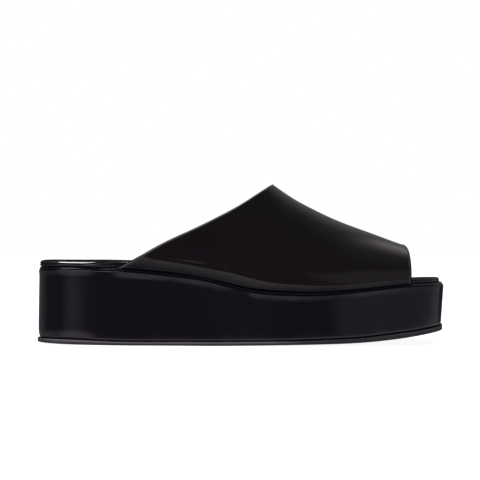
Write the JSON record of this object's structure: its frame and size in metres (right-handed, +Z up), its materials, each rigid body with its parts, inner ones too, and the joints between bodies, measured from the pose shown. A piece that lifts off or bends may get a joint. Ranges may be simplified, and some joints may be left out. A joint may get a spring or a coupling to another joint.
{
  "type": "flatform sandal",
  "caption": "Black patent-leather flatform slide sandal for the right foot: thick wrapped platform, thin rubber outsole, padded insole and one wide vamp band, open at toe and heel.",
  "frame": {"origin": "on the ground under the middle of the sole, in length and in width", "axes": "+X to the toe, +Y to the inner side of the foot, +Z up"},
  "size_m": [0.264, 0.095, 0.1032],
  "materials": {
    "outsole_rubber": "black rubber, satin, fine grain",
    "platform_patent": "black patent leather, glossy, wrapped over a light core",
    "rand_leather": "black patent leather strip, glossy",
    "insole_leather": "black smooth leather, glossy at the edge, softly padded",
    "upper_patent": "black patent leather, high gloss, folded and stitched edges"
  },
  "bodies": {
    "root": {"outsole": "outsole_rubber", "platform": "platform_patent", "rand": "rand_leather", "insole": "insole_leather", "upper": "upper_patent"}
  },
  "joints": []
}
